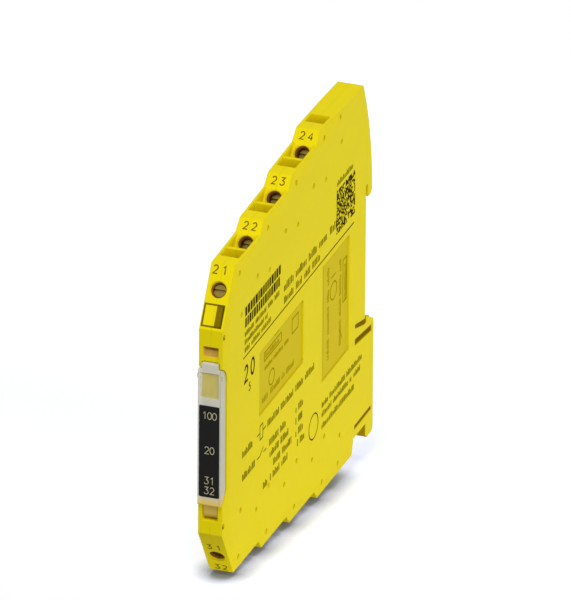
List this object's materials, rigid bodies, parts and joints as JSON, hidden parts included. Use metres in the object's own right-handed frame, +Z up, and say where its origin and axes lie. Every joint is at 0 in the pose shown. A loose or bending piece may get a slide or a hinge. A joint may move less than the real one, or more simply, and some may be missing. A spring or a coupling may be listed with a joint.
{
  "type": "safety relay",
  "caption": "Slim rail-mounted safety relay: stepped yellow housing with screw terminals above and below, clear hinged front cover, side windows over its relays and a sliding rail latch.",
  "frame": {"origin": "on the rail seat, the flat rear face that rests on the mounting rail, level with the rail's middle and midway across the width", "axes": "+X to the right side face with the windows, +Y out of the rail seat towards the cabinet's wall, +Z up along the front"},
  "size_m": [0.0062, 0.1028, 0.0933],
  "materials": {
    "yellow_plastic": "moulded, satin",
    "latch_plastic": "moulded, satin",
    "cover_plastic": "translucent, milky",
    "label_black": "printed plate, satin",
    "guide_clear": "clear",
    "lens_amber": "clear, tinted",
    "relay_case": "sealed case, satin",
    "pin_tin": "tinned",
    "board_green": "solder mask, satin",
    "chip_black": "moulded",
    "part_beige": "ceramic-like",
    "screw_brass": "turned",
    "bar_brass": "stamped",
    "cage_steel": "zinc plated",
    "spring_steel": "drawn wire"
  },
  "bodies": {
    "housing": {"left_shell": "yellow_plastic", "right_shell": "yellow_plastic", "light_guide": "guide_clear", "status_leds": "lens_amber", "latch_spring": "spring_steel", "circuit_board": "board_green", "relay_one": "relay_case", "relay_one_pins": "pin_tin", "relay_two": "relay_case", "relay_two_pins": "pin_tin", "control_chip": "chip_black", "input_inductor": "chip_black", "storage_capacitors": "part_beige", "rectifier_bridge": "chip_black", "resistors": "chip_black", "surge_arrester": "part_beige", "contact_bars": "bar_brass"},
    "cover": {"front_cover": "cover_plastic", "label_plate": "label_black"},
    "latch": {"rail_latch": "latch_plastic"},
    "screw_top_1": {"terminal_screw_top_1": "screw_brass"},
    "cage_top_1": {"clamp_cage_top_1": "cage_steel"},
    "screw_top_2": {"terminal_screw_top_2": "screw_brass"},
    "cage_top_2": {"clamp_cage_top_2": "cage_steel"},
    "screw_top_3": {"terminal_screw_top_3": "screw_brass"},
    "cage_top_3": {"clamp_cage_top_3": "cage_steel"},
    "screw_top_4": {"terminal_screw_top_4": "screw_brass"},
    "cage_top_4": {"clamp_cage_top_4": "cage_steel"},
    "screw_bottom_1": {"terminal_screw_bottom_1": "screw_brass"},
    "cage_bottom_1": {"clamp_cage_bottom_1": "cage_steel"},
    "screw_bottom_2": {"terminal_screw_bottom_2": "screw_brass"},
    "cage_bottom_2": {"clamp_cage_bottom_2": "cage_steel"},
    "screw_bottom_3": {"terminal_screw_bottom_3": "screw_brass"},
    "cage_bottom_3": {"clamp_cage_bottom_3": "cage_steel"},
    "screw_bottom_4": {"terminal_screw_bottom_4": "screw_brass"},
    "cage_bottom_4": {"clamp_cage_bottom_4": "cage_steel"}
  },
  "joints": [
    {"name": "cover_hinge", "type": "hinge", "parent": "housing", "child": "cover", "pos_m": [0, -0.0939, -0.021], "axis": [1, 0, 0], "range_deg": [0, 90]},
    {"name": "latch_slide", "type": "slide", "parent": "housing", "child": "latch", "axis": [0, 0, -1], "range_m": [0, 0.0015], "stiffness_N_per_m": 800, "springref_m": -0.002, "deforming": ["latch_spring"]},
    {"name": "screw_top_1_turn", "type": "hinge", "parent": "housing", "child": "screw_top_1", "pos_m": [0, -0.09185, 0.03349], "axis": [0, 0.809, -0.5878], "range_deg": [0, 880]},
    {"name": "cage_top_1_rise", "type": "slide", "parent": "housing", "child": "cage_top_1", "axis": [0, -0.809, 0.5878], "range_m": [0, 0.0011]},
    {"name": "screw_top_2_turn", "type": "hinge", "parent": "housing", "child": "screw_top_2", "pos_m": [0, -0.07307, 0.03615], "axis": [0, 0.809, -0.5878], "range_deg": [0, 880]},
    {"name": "cage_top_2_rise", "type": "slide", "parent": "housing", "child": "cage_top_2", "axis": [0, -0.809, 0.5878], "range_m": [0, 0.0011]},
    {"name": "screw_top_3_turn", "type": "hinge", "parent": "housing", "child": "screw_top_3", "pos_m": [0, -0.05429, 0.03881], "axis": [0, 0.809, -0.5878], "range_deg": [0, 880]},
    {"name": "cage_top_3_rise", "type": "slide", "parent": "housing", "child": "cage_top_3", "axis": [0, -0.809, 0.5878], "range_m": [0, 0.0011]},
    {"name": "screw_top_4_turn", "type": "hinge", "parent": "housing", "child": "screw_top_4", "pos_m": [0, -0.03551, 0.04147], "axis": [0, 0.809, -0.5878], "range_deg": [0, 880]},
    {"name": "cage_top_4_rise", "type": "slide", "parent": "housing", "child": "cage_top_4", "axis": [0, -0.809, 0.5878], "range_m": [0, 0.0011]},
    {"name": "screw_bottom_1_turn", "type": "hinge", "parent": "housing", "child": "screw_bottom_1", "pos_m": [0, -0.09185, -0.03489], "axis": [0, 0.809, 0.5878], "range_deg": [0, 880]},
    {"name": "cage_bottom_1_rise", "type": "slide", "parent": "housing", "child": "cage_bottom_1", "axis": [0, -0.809, -0.5878], "range_m": [0, 0.0011]},
    {"name": "screw_bottom_2_turn", "type": "hinge", "parent": "housing", "child": "screw_bottom_2", "pos_m": [0, -0.07307, -0.03755], "axis": [0, 0.809, 0.5878], "range_deg": [0, 880]},
    {"name": "cage_bottom_2_rise", "type": "slide", "parent": "housing", "child": "cage_bottom_2", "axis": [0, -0.809, -0.5878], "range_m": [0, 0.0011]},
    {"name": "screw_bottom_3_turn", "type": "hinge", "parent": "housing", "child": "screw_bottom_3", "pos_m": [0, -0.05429, -0.04021], "axis": [0, 0.809, 0.5878], "range_deg": [0, 880]},
    {"name": "cage_bottom_3_rise", "type": "slide", "parent": "housing", "child": "cage_bottom_3", "axis": [0, -0.809, -0.5878], "range_m": [0, 0.0011]},
    {"name": "screw_bottom_4_turn", "type": "hinge", "parent": "housing", "child": "screw_bottom_4", "pos_m": [0, -0.03551, -0.04287], "axis": [0, 0.809, 0.5878], "range_deg": [0, 880]},
    {"name": "cage_bottom_4_rise", "type": "slide", "parent": "housing", "child": "cage_bottom_4", "axis": [0, -0.809, -0.5878], "range_m": [0, 0.0011]}
  ],
  "couplings": [
    {"joint": "screw_top_1_turn", "follows": "cage_top_1_rise", "rad_per_m": 13963},
    {"joint": "screw_top_2_turn", "follows": "cage_top_2_rise", "rad_per_m": 13963},
    {"joint": "screw_top_3_turn", "follows": "cage_top_3_rise", "rad_per_m": 13963},
    {"joint": "screw_top_4_turn", "follows": "cage_top_4_rise", "rad_per_m": 13963},
    {"joint": "screw_bottom_1_turn", "follows": "cage_bottom_1_rise", "rad_per_m": 13963},
    {"joint": "screw_bottom_2_turn", "follows": "cage_bottom_2_rise", "rad_per_m": 13963},
    {"joint": "screw_bottom_3_turn", "follows": "cage_bottom_3_rise", "rad_per_m": 13963},
    {"joint": "screw_bottom_4_turn", "follows": "cage_bottom_4_rise", "rad_per_m": 13963}
  ]
}
